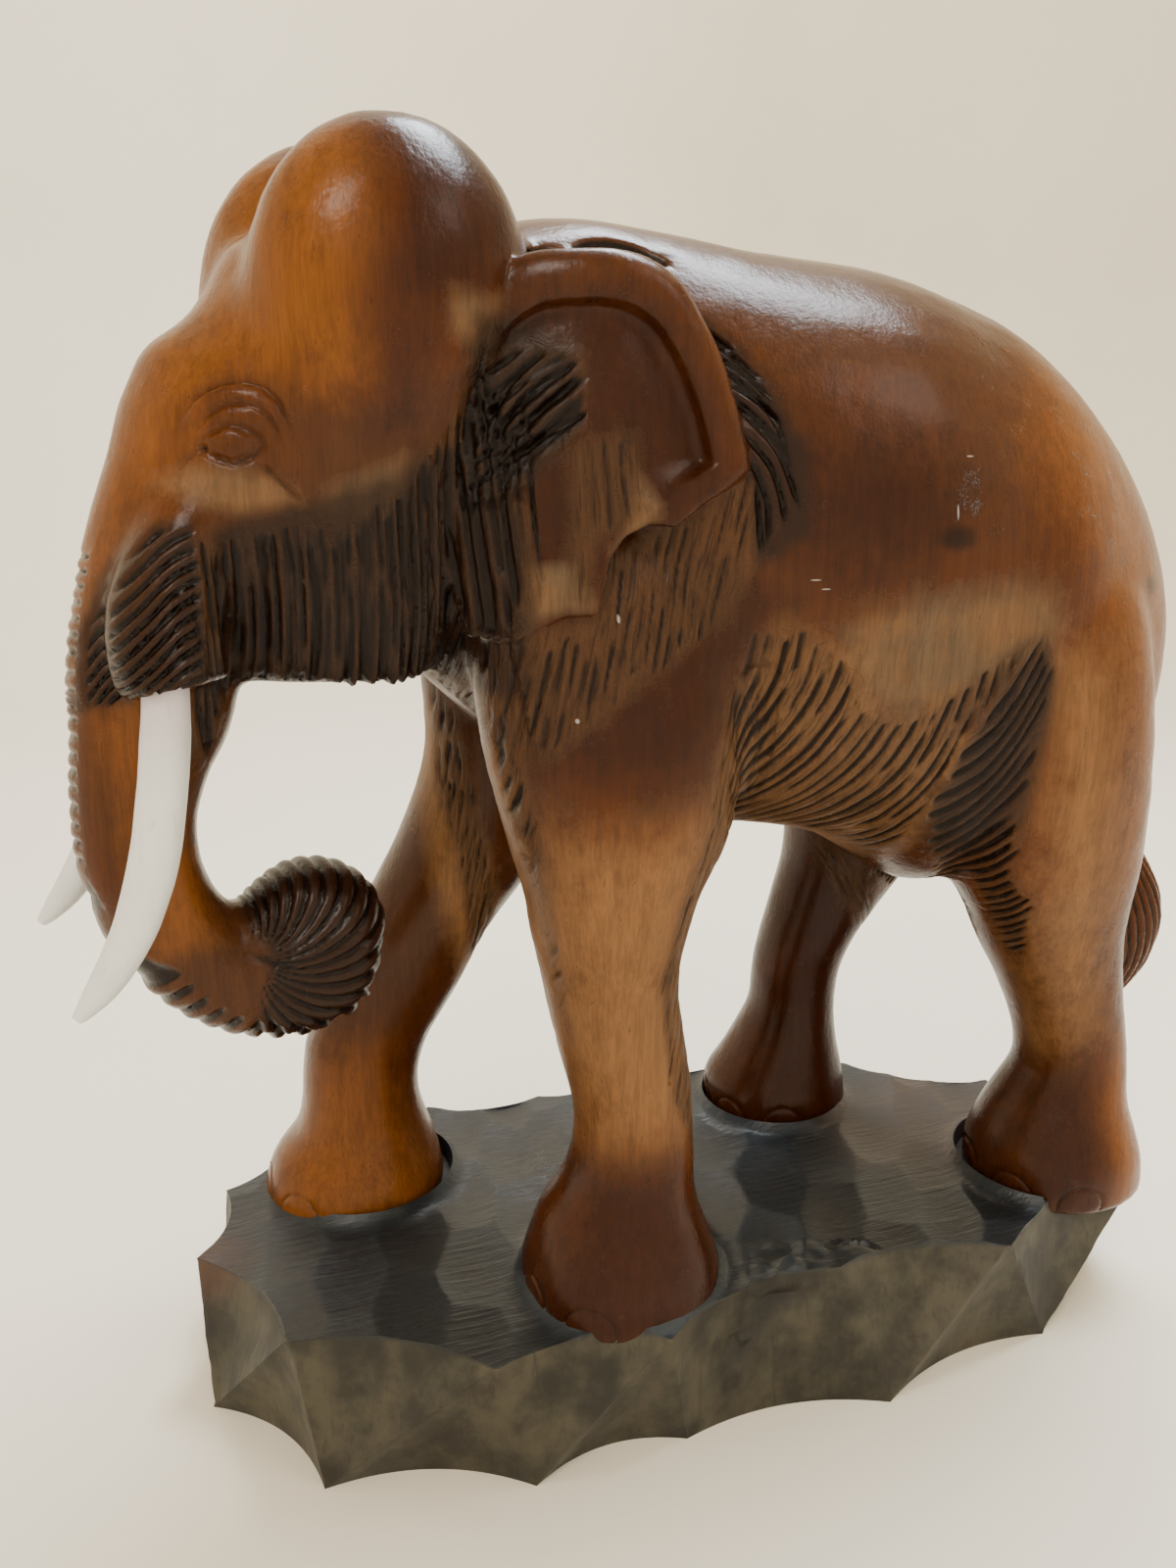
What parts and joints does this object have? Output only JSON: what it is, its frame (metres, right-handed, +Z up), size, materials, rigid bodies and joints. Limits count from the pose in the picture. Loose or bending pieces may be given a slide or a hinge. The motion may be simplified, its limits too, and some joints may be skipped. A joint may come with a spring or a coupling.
{
  "type": "elephant carving",
  "caption": "Carved wooden elephant walking on a rugged gouged base, with a curled trunk, turned head and painted tusks set in sockets.",
  "frame": {"origin": "under the middle of the whole carving, on the base's underside", "axes": "+X from the head towards the rump, +Y towards the elephant's right side, +Z up"},
  "size_m": [0.391, 0.163, 0.3873],
  "materials": {
    "carved_wood": "stained and lacquered, glossy, the base blackened",
    "tusk_paint": "off-white paint, satin"
  },
  "bodies": {
    "root": {"elephant_and_base": "carved_wood", "tusk_left": "tusk_paint", "tusk_right": "tusk_paint"}
  },
  "joints": []
}
